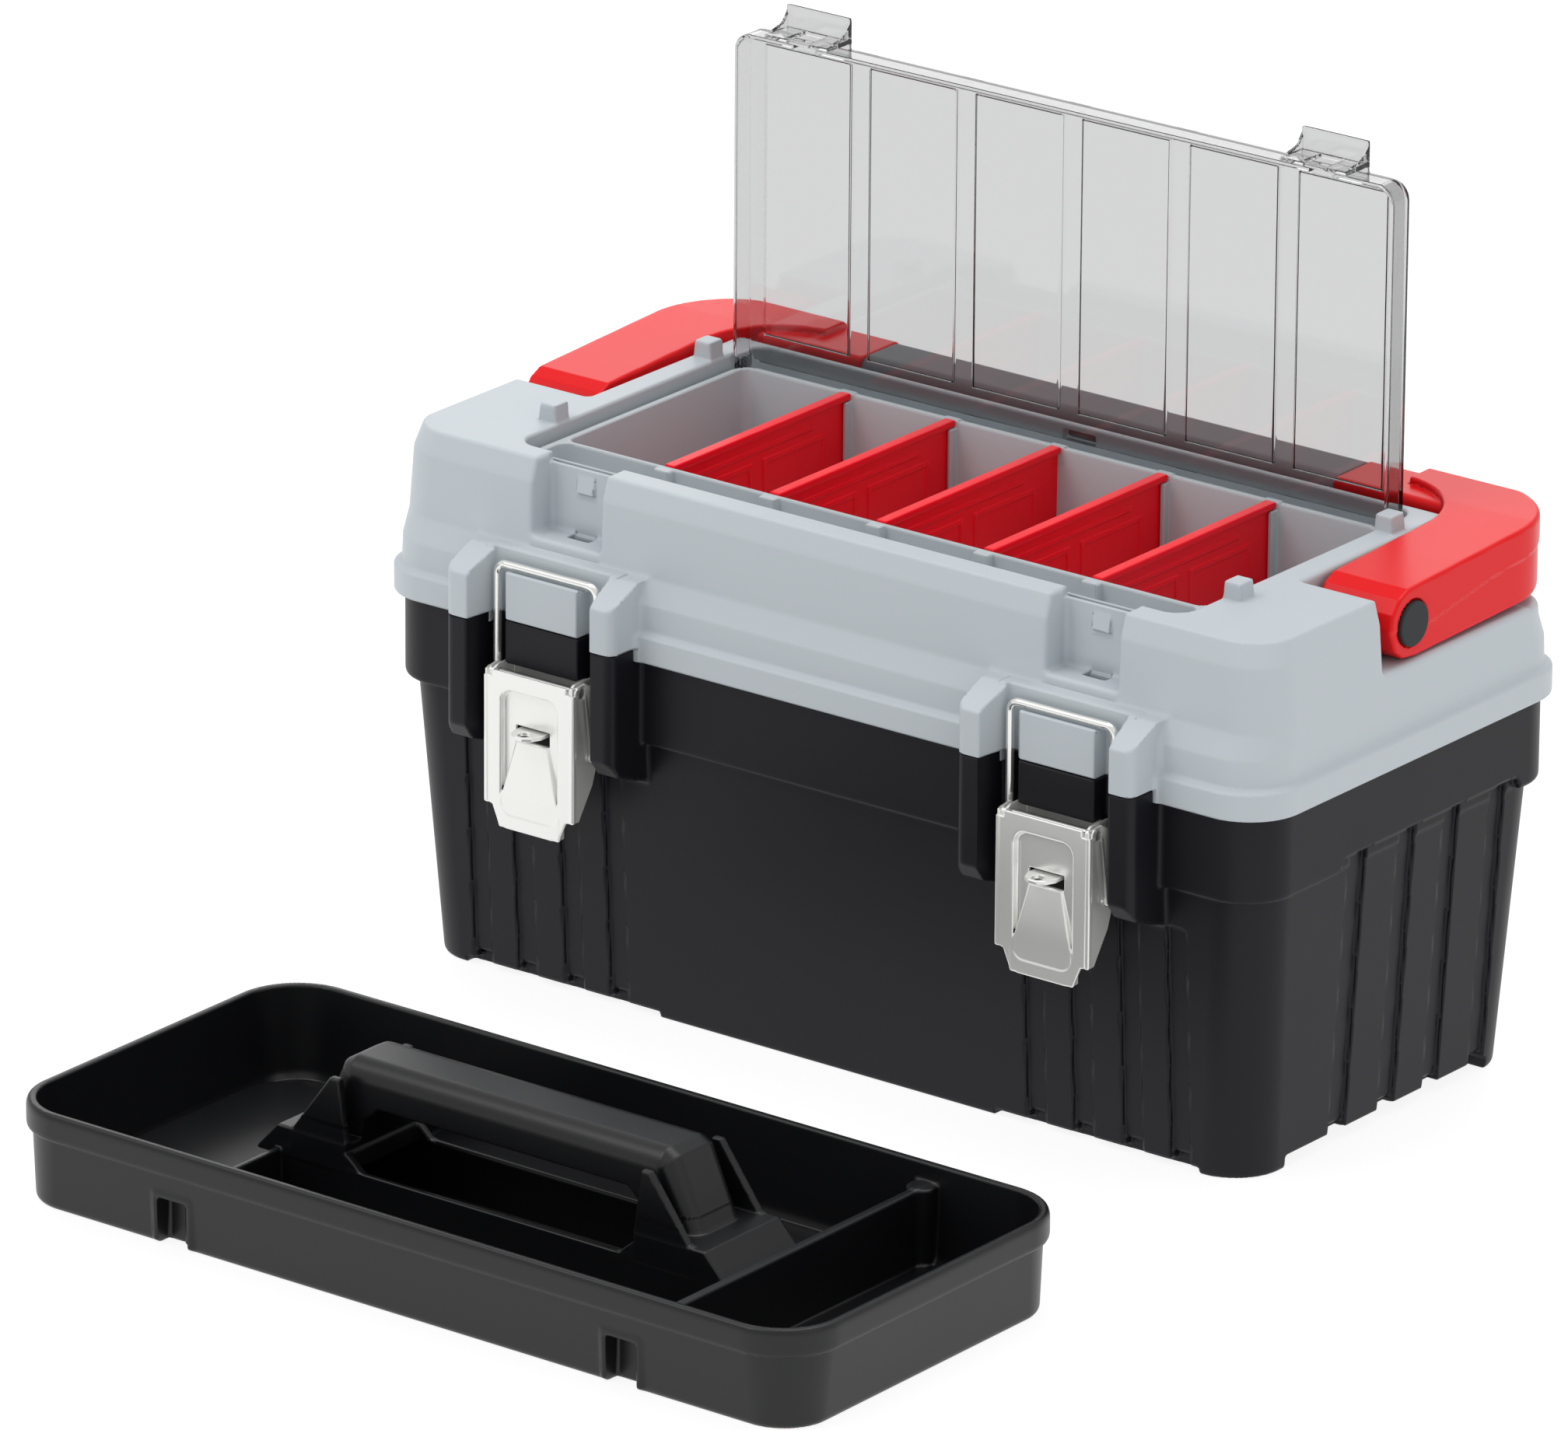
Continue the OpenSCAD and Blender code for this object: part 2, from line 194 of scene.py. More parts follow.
def turned(prim, axis, ang, c):
    """prim turned by ang degrees about axis through c."""
    f, lo3, hi3 = prim
    ca, sa = math.cos(math.radians(ang)), math.sin(math.radians(ang))

    def back(x, y, z):
        if axis == "x":
            yy, zz = y - c[1], z - c[2]
            return x, yy * ca + zz * sa + c[1], -yy * sa + zz * ca + c[2]
        if axis == "y":
            xx, zz = x - c[0], z - c[2]
            return xx * ca - zz * sa + c[0], y, xx * sa + zz * ca + c[2]
        xx, yy = x - c[0], y - c[1]
        return xx * ca + yy * sa + c[0], -xx * sa + yy * ca + c[1], z

    def g(x, y, z):
        return f(*back(x, y, z))
    pts = []
    for i in range(8):
        p = [(lo3, hi3)[(i >> k) & 1][k] for k in range(3)]
        if axis == "x":
            yy, zz = p[1] - c[1], p[2] - c[2]
            p = [p[0], yy * ca - zz * sa + c[1], yy * sa + zz * ca + c[2]]
        elif axis == "y":
            xx, zz = p[0] - c[0], p[2] - c[2]
            p = [xx * ca + zz * sa + c[0], p[1], -xx * sa + zz * ca + c[2]]
        else:
            xx, yy = p[0] - c[0], p[1] - c[1]
            p = [xx * ca - yy * sa + c[0], xx * sa + yy * ca + c[1], p[2]]
        pts.append(p)
    pts = np.array(pts)
    return g, tuple(pts.min(0)), tuple(pts.max(0))


class Shape:
    """A list of solids added, cut away or kept, each with a soft edge k."""

    def __init__(self, sym=False):
        self.ops = []
        self.sym = sym

    def add(self, prim, k=0.0):
        self.ops.append((0, prim, k))
        return self

    def cut(self, prim, k=0.0):
        self.ops.append((1, prim, k))
        return self

    def keep(self, prim, k=0.0):
        self.ops.append((2, prim, k))
        return self

    @staticmethod
    def mix(op, a, b, k):
        if op == 1:
            b = -b
        if k <= 0:
            return np.minimum(a, b) if op == 0 else np.maximum(a, b)
        h = np.maximum(k - np.abs(a - b), 0)
        c = h * h * (0.25 / k)
        return np.minimum(a, b) - c if op == 0 else np.maximum(a, b) + c

    def grid(self, xs, ys, zs, margin):
        d = np.full((len(xs), len(ys), len(zs)), 1e3, F)
        x3, y3, z3 = xs[:, None, None], ys[None, :, None], zs[None, None, :]
        for op, (f, a, b), k in self.ops:
            m = margin + k
            if op == 2:
                d[:] = self.mix(2, d, f(x3, y3, z3), k)
                continue
            i = [np.searchsorted(v, (a[n] - m, b[n] + m)) for n, v in enumerate((xs, ys, zs))]
            if any(q[0] >= q[1] for q in i):
                continue
            s = tuple(slice(q[0], q[1]) for q in i)
            d[s] = self.mix(op, d[s], f(x3[s[0]], y3[:, s[1]], z3[:, :, s[2]]), k)
        return d

    def at(self, p, margin=4.0):
        x, y, z = p[:, 0], p[:, 1], p[:, 2]
        if self.sym:
            x = np.abs(x)
        d = np.full(len(p), 1e3)
        for op, (f, a, b), k in self.ops:
            m = margin + k
            if op == 2:
                d = self.mix(2, d, f(x, y, z), k)
                continue
            i = np.nonzero((x > a[0] - m) & (x < b[0] + m) & (y > a[1] - m) & (y < b[1] + m)
                           & (z > a[2] - m) & (z < b[2] + m))[0]
            if len(i):
                d[i] = self.mix(op, d[i], f(x[i], y[i], z[i]), k)
        return d

    def whole(self, x, y, z):
        d = None
        for op, (f, a, b), k in self.ops:
            v = f(x, y, z)
            d = v if d is None else self.mix(op, d, v, k)
        return d

    def slope(self, p, h=0.05):
        k = np.array([[1, -1, -1], [-1, -1, 1], [-1, 1, -1], [1, 1, 1]], float)
        g = np.zeros_like(p)
        for v in k:
            g += v * self.at(p + v * h)[:, None]
        return g / (4 * h)

    def bounds(self):
        a = np.array([p[1] for op, p, k in self.ops if op == 0]).min(0)
        b = np.array([p[2] for op, p, k in self.ops if op == 0]).max(0)
        return a, b


def nets(d, org, h):
    s = d < 0
    n = np.zeros(tuple(v - 1 for v in d.shape), np.uint8)
    for i in (0, 1):
        for j in (0, 1):
            for k in (0, 1):
                n += s[i:s.shape[0] - 1 + i, j:s.shape[1] - 1 + j, k:s.shape[2] - 1 + k]
    act = (n > 0) & (n < 8)
    idx = np.full(act.shape, -1, np.int32)
    I, J, K = np.nonzero(act)
    idx[I, J, K] = np.arange(len(I))
    acc = np.zeros((len(I), 3))
    cnt = np.zeros(len(I))
    cor = {(i, j, k): d[I + i, J + j, K + k] for i in (0, 1) for j in (0, 1) for k in (0, 1)}
    for a in cor:
        for ax in range(3):
            if a[ax]:
                continue
            b = list(a)
            b[ax] = 1
            da, db = cor[a], cor[tuple(b)]
            x = (da < 0) != (db < 0)
            t = np.where(x, da / np.where(x, da - db, 1), 0)
            for m in range(3):
                acc[:, m] += np.where(x, a[m] + (t if m == ax else 0), 0)
            cnt += x
    v = org + h * (np.stack([I, J, K], 1) + acc / cnt[:, None])
    quads = []
    for ax in range(3):
        lo_ = [slice(1, -1)] * 3
        hi_ = [slice(1, -1)] * 3
        lo_[ax] = slice(0, -1)
        hi_[ax] = slice(1, None)
        a, b = s[tuple(lo_)], s[tuple(hi_)]
        for flip in (0, 1):
            e = np.nonzero((~a & b) if flip else (a & ~b))
            e = [e[m] + (0 if m == ax else 1) for m in range(3)]
            u, w = (ax + 1) % 3, (ax + 2) % 3
            q = []
            for du, dw in ((-1, -1), (0, -1), (0, 0), (-1, 0)):
                c = list(e)
                c[u] = c[u] + du
                c[w] = c[w] + dw
                q.append(idx[c[0], c[1], c[2]])
            q = np.stack(q, 1)
            quads.append(q[:, ::-1] if flip else q)
    return v, np.concatenate(quads)


POOL = ThreadPoolExecutor(4)


def field(shape, h):
    a, b = shape.bounds()
    a, b = a - 2.5 * h, b + 2.5 * h
    if shape.sym:
        xs = (np.arange(int(b[0] / h) + 2) + 0.5) * h
    else:
        xs = np.arange(a[0], b[0] + h, h)
    ys = np.arange(a[1], b[1] + h, h)
    zs = np.arange(a[2], b[2] + h, h)
    xs, ys, zs = xs.astype(F), ys.astype(F), zs.astype(F)
    parts = [xs[i:i + 12] for i in range(0, len(xs), 12)]
    d = np.concatenate(list(POOL.map(lambda x: shape.grid(x, ys, zs, 3.2 * h), parts)))
    x0 = xs[0]
    if shape.sym:
        d = np.concatenate([d[::-1], d])
        x0 = -xs[-1]
    v, q = nets(d, np.array([x0, ys[0], zs[0]], float), h)

    def push(p):
        for _ in range(3):
            g = shape.slope(p)
            w = shape.at(p)
            st = (w / np.maximum((g * g).sum(1), 0.05))[:, None] * g
            ln = np.linalg.norm(st, axis=1, keepdims=True)
            p = p - st * np.minimum(1, 0.6 * h / np.maximum(ln, 1e-9))
        return p
    parts = np.array_split(v, max(4, len(v) // 60000))
    return np.concatenate(list(POOL.map(push, parts))), q


def make(name, shape, h, faces, mat, body, nodes):
    t = time.time()
    v, q = field(shape, h)
    me = bpy.data.meshes.new(name)
    me.vertices.add(len(v))
    me.vertices.foreach_set("co", (v * 0.001).astype(F).ravel())
    me.loops.add(q.size)
    me.loops.foreach_set("vertex_index", q.astype(np.int32).ravel())
    me.polygons.add(len(q))
    me.polygons.foreach_set("loop_start", np.arange(0, q.size, 4, dtype=np.int32))
    me.update(calc_edges=True)
    o = bpy.data.objects.new(name, me)
    bpy.context.scene.collection.objects.link(o)
    if 2 * len(q) > faces:
        m = o.modifiers.new("d", "DECIMATE")
        m.ratio = faces / (2 * len(q))
        dg = bpy.context.evaluated_depsgraph_get()
        new = bpy.data.meshes.new_from_object(o.evaluated_get(dg))
        o.modifiers.clear()
        old = o.data
        o.data = new
        bpy.data.meshes.remove(old)
        me = new
        me.name = name
    n = len(me.vertices)
    co = np.zeros(n * 3, F)
    me.vertices.foreach_get("co", co)
    p = co.reshape(-1, 3).astype(float) * 1000
    g = np.concatenate(list(POOL.map(shape.slope, np.array_split(p, 8))))
    g /= np.maximum(np.linalg.norm(g, axis=1, keepdims=True), 1e-9)
    me.polygons.foreach_set("use_smooth", np.ones(len(me.polygons), bool))
    me.normals_split_custom_set_from_vertices(g.astype(F))
    me.materials.clear()
    me.materials.append(mat)
    if body:
        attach(o, body)
        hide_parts(*nodes)
    print("MADE", name, len(v), len(me.polygons), "%.1f s" % (time.time() - t), flush=True)
    return o


# ---------------------------------------------------------------- finishes
def lin(c):
    return tuple(((x / 255) / 12.92 if x / 255 <= 0.04045 else ((x / 255 + 0.055) / 1.055) ** 2.4) for x in c) + (1,)


def plastic(name, rgb, rough=0.45, grain=0.04, scale=1400, spec=0.3, vary=0.03):
    m = bpy.data.materials.new(name)
    m.use_nodes = True
    nt = m.node_tree
    b = nt.nodes["Principled BSDF"]
    b.inputs["Base Color"].default_value = lin(rgb)
    b.inputs["Roughness"].default_value = rough
    b.inputs["IOR"].default_value = 1.49
    b.inputs["Specular IOR Level"].default_value = spec
    tc = nt.nodes.new("ShaderNodeTexCoord")
    n1 = nt.nodes.new("ShaderNodeTexNoise")
    n1.inputs["Scale"].default_value = scale
    n1.inputs["Detail"].default_value = 3
    bp = nt.nodes.new("ShaderNodeBump")
    bp.inputs["Strength"].default_value = grain
    bp.inputs["Distance"].default_value = 0.0004
    nt.links.new(tc.outputs["Object"], n1.inputs["Vector"])
    nt.links.new(n1.outputs["Fac"], bp.inputs["Height"])
    nt.links.new(bp.outputs["Normal"], b.inputs["Normal"])
    n2 = nt.nodes.new("ShaderNodeTexNoise")
    n2.inputs["Scale"].default_value = 35
    n2.inputs["Detail"].default_value = 4
    mr = nt.nodes.new("ShaderNodeMapRange")
    mr.inputs["To Min"].default_value = rough - vary
    mr.inputs["To Max"].default_value = rough + vary
    nt.links.new(tc.outputs["Object"], n2.inputs["Vector"])
    nt.links.new(n2.outputs["Fac"], mr.inputs["Value"])
    nt.links.new(mr.outputs["Result"], b.inputs["Roughness"])
    return m


def metal(name, rgb, rough=0.22, stretch=(3, 3, 90), full=1.0):
    m = bpy.data.materials.new(name)
    m.use_nodes = True
    nt = m.node_tree
    b = nt.nodes["Principled BSDF"]
    b.inputs["Base Color"].default_value = lin(rgb)
    b.inputs["Metallic"].default_value = full
    tc = nt.nodes.new("ShaderNodeTexCoord")
    mp = nt.nodes.new("ShaderNodeMapping")
    mp.inputs["Scale"].default_value = stretch
    n = nt.nodes.new("ShaderNodeTexNoise")
    n.inputs["Scale"].default_value = 25
    n.inputs["Detail"].default_value = 4
    mr = nt.nodes.new("ShaderNodeMapRange")
    mr.inputs["To Min"].default_value = rough - 0.015
    mr.inputs["To Max"].default_value = rough + 0.015
    nt.links.new(tc.outputs["Object"], mp.inputs["Vector"])
    nt.links.new(mp.outputs["Vector"], n.inputs["Vector"])
    nt.links.new(n.outputs["Fac"], mr.inputs["Value"])
    nt.links.new(mr.outputs["Result"], b.inputs["Roughness"])
    return m


def clear(name):
    m = bpy.data.materials.new(name)
    m.use_nodes = True
    nt = m.node_tree
    b = nt.nodes["Principled BSDF"]
    b.inputs["Base Color"].default_value = (0.565, 0.567, 0.57, 1)
    b.inputs["Roughness"].default_value = 0.03
    b.inputs["IOR"].default_value = 1.45
    b.inputs["Transmission Weight"].default_value = 1.0
    tc = nt.nodes.new("ShaderNodeTexCoord")
    n = nt.nodes.new("ShaderNodeTexNoise")
    n.inputs["Scale"].default_value = 60
    mr = nt.nodes.new("ShaderNodeMapRange")
    mr.inputs["To Min"].default_value = 0.02
    mr.inputs["To Max"].default_value = 0.05
    nt.links.new(tc.outputs["Object"], n.inputs["Vector"])
    nt.links.new(n.outputs["Fac"], mr.inputs["Value"])
    nt.links.new(mr.outputs["Result"], b.inputs["Roughness"])
    return m


M_BASE = plastic("black_satin", (20, 20, 25), 0.42, 0.05, spec=0.22)
M_LID = plastic("grey_satin", (186, 193, 198), 0.42, 0.04)
M_BIN = plastic("grey_bin", (182, 188, 192), 0.45, 0.03)
M_RED = plastic("red_satin", (222, 16, 22), 0.3, 0.02, spec=0.2)
M_DIV = plastic("red_divider", (240, 14, 34), 0.34, 0.02, spec=0.2)
M_GRIP = plastic("grip_grey", (112, 113, 117), 0.5, 0.06)
M_DISC = plastic("pivot_grey", (46, 50, 52), 0.5, 0.03, spec=0.15)
M_TRAY = plastic("black_tray", (11, 12, 15), 0.36, 0.04, spec=0.45)
M_STEEL = metal("pressed_steel", (238, 238, 235), 0.24, full=0.55)
M_WIRE = metal("steel_wire", (240, 240, 237), 0.16, (60, 60, 3), full=0.85)
M_PIN = metal("steel_pin", (205, 205, 203), 0.3, (3, 60, 60))
M_CLEAR = clear("clear_moulded")

L = 138.5


def guard(c0, c1, prof, z0, z1):
    """Guard beside a latch: side profile in y, z, with rounded upright edges."""
    g = Shape()
    g.add(poly("x", prof, c0, c1, 0.5, 1.6))
    g.keep(poly("z", [(c0, -131.5), (c1, -131.5), (c1, -70), (c0, -70)], 60, 260, 0.2, 5.5), 1.2)
    return g.whole, (c0, -131.5, z0), (c1, -102, z1)


# ---------------------------------------------------------------- base tub
def build_base():
    s = Shape(True)
    s.add(loft([(0, 223.2, 97.8, 23), (1.2, 224, 98.6, 24), (130, 232, 106, 24), (150, 233, 107, 24)], e=1.0))
    s.add(loft([(130, 235.4, 109.9, 24), (131.5, 236, 110.5, 24), (169, 236, 110.5, 24)], e=1.2), 1.2)
    s.cut(loft([(4, 219, 93.6, 20), (175, 230.3, 104.8, 20)], e=2.0), 1.0)
    s.add(box(206, 222, -62, 66, 2, 9.5, 1), 1)
    ear = [(-103, 111), (-114, 114), (-126, 118.5), (-131.5, 126), (-131.5, 190), (-103, 190)]
    for c0, c1 in ((L - 46.4, L - 20), (L + 20, L + 46.4)):
        s.add(guard(c0, c1, ear, 111, 190), 2.5)
    s.cut(poly("x", [(-140, 175), (-115.1, 175), (-115.1, 169), (-100, 169), (-100, 200), (-140, 200)], L - 60, L + 60, 0.2))
    s.cut(poly("x", [(-140, 90), (-106.5, 122), (-106.5, 180), (-140, 180)], L - 34, L + 34, 0.4), 0.6)
    s.cut(box(L - 34, L + 34, -140, -113, 90, 180, 0.4), 0.6)
    s.add(box(L - 36, L + 36, -113, -104.9, 128, 168, 0.3))
    s.add(box(L - 34, L + 34, -113, -104.9, 150, 175, 0.3))
    s.add(loft([(0, 223.2, 97.8, 23), (1.2, 224, 98.6, 24), (128, 231.9, 105.9, 24)], e=1.0))
    s.cut(loft([(4, 219, 93.6, 20), (140, 228, 102.4, 20)], e=2.0), 1.0)
    s.add(box(206, 222, -62, 66, 2, 9.5, 1), 1)
    s.add(box(L - 20, L + 20, -122, -106, 155.5, 175, 0.4), 0.3)
    for t in (-14.7, 14.7):
        c = 150 + t
        s.add(cyl("x", 120.5, 171, 5, c - 5, c + 5, 0.8))
        s.add(poly("x", [(108, 148), (112, 148), (125.5, 163), (125.5, 171), (115.5, 171), (115.5, 168.6), (108, 168.6)],
                   c - 5, c + 5, 0.8), 0.8)
    # lower edge of the rim band steps up on the ends
    s.cut(poly("x", [(-54, 125), (-48, 136), (78, 136), (84, 125)], 232.6, 245, 0.6), 0.8)
    # upright grooves with soft edges
    for c, a in ((-1, 1), (1, -1)):
        for x0, x1, d, z1, e in ((108.6, 118.2, 2.0, 111, 0.8), (133.4, 143.4, 2.0, 111, 0.8),
                                 (159.6, 169.6, 2.0, 111, 0.8), (184.6, 194.4, 2.0, 111, 0.8)):
            y0, y1 = (-98.6 - 12, -98.6 + d) if c < 0 else (98.6 - d, 98.6 + 12)
            s.cut(turned(box(x0, x1, y0, y1, -6, z1, e), "x", 3.26 * a, (0, c * 98.6, 0)), 0.6)
        ya, yb = (-97, -80) if c < 0 else (80, 97)
        s.add(box(93, 194, ya, yb, 3.2, 10.5, 0.6), 0.3)
        y0, y1 = (-120, -92.5) if c < 0 else (92.5, 120)
        s.cut(box(91, 199, y0, y1, -6, 3.0, 0.8), 0.8)
        for x0, x1 in ((108.8, 118.0), (133.6, 143.2), (159.8, 169.4), (184.8, 194.2)):
            s.cut(box(x0, x1, y0, y1, -6, 7.4, 0.6), 0.5)
    for y0, y1, d, z1 in ((-39.6, -27.8, 2.0, 137), (-3.6, 7.9, 2.0, 137), (29.6, 40.2, 2.0, 137), (63.4, 74.0, 2.0, 137)):
        s.cut(turned(box(224 - d, 224 + 12, y0, y1, -6, z1, 0.8), "y", 3.52, (224, 0, 0)), 0.6)
    for c in (-1, 1):
        s.add(box(204, 221, -74, 78, 2, 13, 1))
    s.cut(box(211, 245, -70, 76, -5, 5.8, 1.0), 1.0)
    for y0, y1 in ((-39.4, -28.0), (-3.4, 7.7), (29.8, 40.0), (63.6, 73.8)):
        s.cut(box(216, 245, y0, y1, -5, 9.2, 0.6), 0.5)
    s.cut(cyl("x", 120.5, 171, 2.5, 128, 172, 0.1))
    return s


# ---------------------------------------------------------------- lid
def build_lid():
    s = Shape(True)
    s.add(loft([(169, 240, 114.5, 26), (181, 240, 114.5, 26), (182.6, 236.9, 111.4, 24), (194.5, 236.7, 111, 24),
                (204.8, 236.4, 105.5, 22), (233.5, 234, 104.5, 21), (244, 231, 101, 20)], e=0.9, soft=0.5))
    s.cut(rbox(-232.5, 232.5, -107, 107, 20, 150, 190, 1), 1)
    s.cut(rbox(-229.5, 229.5, -101.5, 101.5, 18, 186, 206.5, 1), 1)
    s.cut(box(-112, 112, -100, -92.5, 200, 240.5, 1))
    s.cut(box(182, 218, -88, -25, 200, 240.5, 1))
    ear = [(-102, 150), (-131.5, 150), (-131.5, 195), (-128.5, 197.6), (-113.5, 204.4), (-102, 204.4)]
    for c0, c1 in ((L - 46.4, L - 20), (L + 20, L + 46.4)):
        s.add(guard(c0, c1, ear, 150, 205), 3.5)
    s.cut(poly("x", [(-140, 175), (-114.9, 175), (-114.9, 169), (-100, 169), (-100, 140), (-140, 140)], L - 60, L + 60, 0.2))
    s.add(box(L - 36, L + 36, -115, -101.5, 169, 205, 0.6))
    s.add(cyl("x", 120.5, 171, 5, 140.6, 159.4, 0.8))
    s.add(poly("x", [(108, 170), (114, 170), (116, 170), (125.5, 171), (124, 175), (112, 188), (108, 188)],
               140.6, 159.4, 0.8), 1.0)
    # shelf of the organiser, opening, handle room
    s.cut(rbox(-178.5, 178.5, -88.7, 80, 10, 227, 290, 1), 1.6)
    s.cut(rbox(-173.4, 173.4, -65.5, 65.5, 6, 190, 235, 1), 0.8)
    s.cut(box(192, 300, -22, 180, 211.5, 300, 2), 3.0)
    s.cut(box(-300, 300, 85, 180, 211.5, 300, 2), 3.0)
    # pockets of the cover clips
    s.cut(box(L - 19, L + 19, -160, -90.4, 209.5, 300, 2.2), 2.4)
    s.cut(box(L - 19.5, L + 19.5, -92, -86, 239.7, 300, 0.6), 0.6)
    s.cut(box(L - 6, L + 6, -96.5, -91.2, 200, 216, 0.3), 0.3)
    s.cut(box(L - 5.6, L + 5.6, -96, -90.0, 209, 226, 0.2), 0.2)
    s.add(poly("x", [(-88, 228), (-91.8, 228.4), (-92.2, 229.3), (-90.5, 237), (-88, 237)], L - 4.8, L + 4.8, 0.3), 0.2)
    # latch pockets
    s.cut(poly("x", [(-160, 150), (-104.5, 150), (-104.5, 175), (-160, 175)], L - 34, L + 34, 0.4), 0.4)
    s.cut(poly("z", [(L - 35, -140), (L + 35, -140), (L + 31.2, -113), (L - 31.2, -113)], 150, 212, 0.4, 0.8), 0.9)
    s.add(box(L - 20, L + 20, -122, -112, 175.4, 196, 0.5), 0.3)
    s.add(box(L - 20, L + 20, -122, -120.2, 190, 197.4, 0.6))
    # bores
    s.cut(cyl("x", 68, 237, 2.6, 176, 183.6, 0.1))
    s.cut(cyl("x", 0, 228, 6, 181.5, 250, 0.1))
    s.cut(cyl("x", 120.5, 171, 2.56, 130, 170, 0.1))
    # slot in the rear wall of the shelf
    s.cut(box(-9, 9, 78, 87, 236.8, 241, 0.3), 0.3)
    for y in (-56, 53):
        s.add(poly("y", [(178.8, 243), (189.2, 243), (188.2, 252), (179.8, 252)], y - 4.8, y + 4.8, 0.9, 0.6), 0.5)
    return s


def build_bin():
    s = Shape(True)
    s.add(rbox(-174.5, 174.5, -85.5, 66, 10, 227, 239, 0.5))
    s.add(rbox(-173, 173, -65, 65, 6, 188, 230, 1))
    s.cut(loft([(190, 169.6, 61.6, 5), (250, 171.4, 63.4, 5)], e=2.5, soft=0.5), 0.8)
    s.cut(rbox(-171, 171, -83.5, -65, 6, 229, 260, 2.0), 0.8)
    for k in (0, 1, 2):
        for t in (-2.3, 2.3):
            c = k * 57.5 + t
            s.add(box(c - 1.1, c + 1.1, -63.6, -58.5, 188.5, 236, 0.5), 0.5)
            s.add(box(c - 1.1, c + 1.1, 58.5, 63.6, 188.5, 236, 0.5), 0.5)
            if k == 0:
                break
        s.add(box(k * 57.5 - 4.2, k * 57.5 + 4.2, -69, -63.6, 228, 238.8, 0.5), 0.4)
        s.add(box(k * 57.5 - 4.2, k * 57.5 + 4.2, 62.8, 66, 232, 239.6, 0.4), 0.3)
    return s


def build_divider():
    s = Shape(True)
    s.add(box(-0.9, 0.9, -62.6, 62.6, 190.4, 237, 0.3))
    s.add(box(-2.75, 2.75, -62.6, 62.6, 236.4, 239.5, 0.6), 1.2)
    s.add(box(0.3, 1.4, -52, 38, 229, 231.2, 0.4), 0.3)
    for y in (-50, 2):
        for b in ((y, y + 44, 222.6, 225), (y, y + 44, 197, 199), (y, y + 2, 197, 225), (y + 42, y + 44, 197, 225)):
            s.add(box(0.3, 1.4, *b, 0.4), 0.3)
    return s


def build_cover():
    s = Shape(True)
    s.add(rbox(-177, 177, 61, 73, 0.1, 240, 393.3, 1.0))
    a = Shape()
    s.ops = []
    # tray shape: outer block with rounded upper corners, hollowed from the front
    out = [(-177, 239.5), (177, 239.5), (177, 393.3), (-177, 393.3)]
    s.add(poly("y", out, 61, 73, 0.8, 8.5))
    inn = [(-175, 230), (175, 230), (175, 391.3), (-175, 391.3)]
    s.cut(poly("y", inn, 40, 71, 0.6, 6.5), 0.4)
    for i in range(3):
        c = (i + 0.5) * 57.5
        s.cut(box(c - 23.4, c + 23.4, 72.2, 90, 253, 387, 0.2), 0.25)
        s.add(box(c - 23.4, c + 23.4, 70.4, 71.4, 253, 387, 0.2), 0.25)
    s.add(box(175, 177.6, 64, 73, 233.5, 242, 0.8), 0.5)
    s.add(cyl("x", 68, 237, 2.5, 175, 183, 0.4))
    s.add(box(L - 17.5, L + 17.5, 71.1, 73, 391, 407.5, 0.8), 0.4)
    s.add(box(L - 17.5, L + 17.5, 55, 73, 395.7, 397.5, 0.6), 0.4)
    s.cut(box(L - 6, L + 6, 58, 70, 390, 402, 0.5), 0.4)
    for x in (-17.5, 15.9):
        s.add(poly("x", [(58, 395.9), (72.5, 395.9), (72.5, 406.5), (67, 400), (60, 398.5)], L + x, L + x + 1.6, 0.5, 0.4), 0.4)
    return s


def build_bail():
    s = Shape(True)
    low = [(-16, 228), (-14.5, 235), (-10, 240.5), (-3.5, 243.5), (90, 245.4), (118, 245.6), (121.5, 242), (121.5, 220), (117.5, 215),
           (3, 212.2), (-6, 213.4), (-12, 218)]
    s.add(poly("x", low, -234.6, 234.6, 1.6, 2.0))
    s.keep(rbox(-234.6, 234.6, -80, 121.5, 44, 150, 300, 0.1), 3.0)
    s.cut(rbox(-195, 195, -160, 90, 9, 150, 300, 0.1), 3.5)
    # upper layer with a wide inner curve, ending in a step
    top = Shape(True)
    top.add(poly("x", [(-16, 228), (-14.5, 235), (-10, 240.9), (-3.5, 244), (90, 248.3), (118, 248.8), (122, 246), (122, 236), (60, 232), (0, 222)],
                 -235, 235, 1.2, 2.0))
    top.keep(rbox(-235, 235, -80, 122, 44, 150, 300, 0.1), 2.4)
    top.cut(rbox(-195, 195, -160, 104, 40, 150, 300, 0.1), 1.2)
    top.cut(box(-300, 158, 60, 140, 200, 300, 0.1), 0.8)
    s.add((top.whole, (-235, -16, 212), (235, 122, 249)), 0.3)
    s.cut(box(-300, 128, 60, 140, 200, 260, 0.1), 1.0)
    s.add(box(-2, 129, 96, 116, 223, 242, 0.4))
    s.cut(cyl("x", 0, 228, 6.1, 180, 260, 0.1))
    s.cut(cyl("x", 0, 228, 10.4, 233.0, 260, 0.1), 0.5)
    return s


def build_grip():
    s = Shape(True)
    s.add(poly("x", [(90, 216), (121.5, 216), (121.5, 245.6), (90, 245.6)], -128, 128, 1.0, 7))
    s.cut(box(-140, 140, 96, 116, 223, 242, 0.2))
    return s


def build_pivot():
    s = Shape()
    s.add(cyl("x", 0, 228, 6, 182, 234, 0.4))
    s.add(cyl("x", 0, 228, 10, 233.0, 235.6, 0.6))
    return s


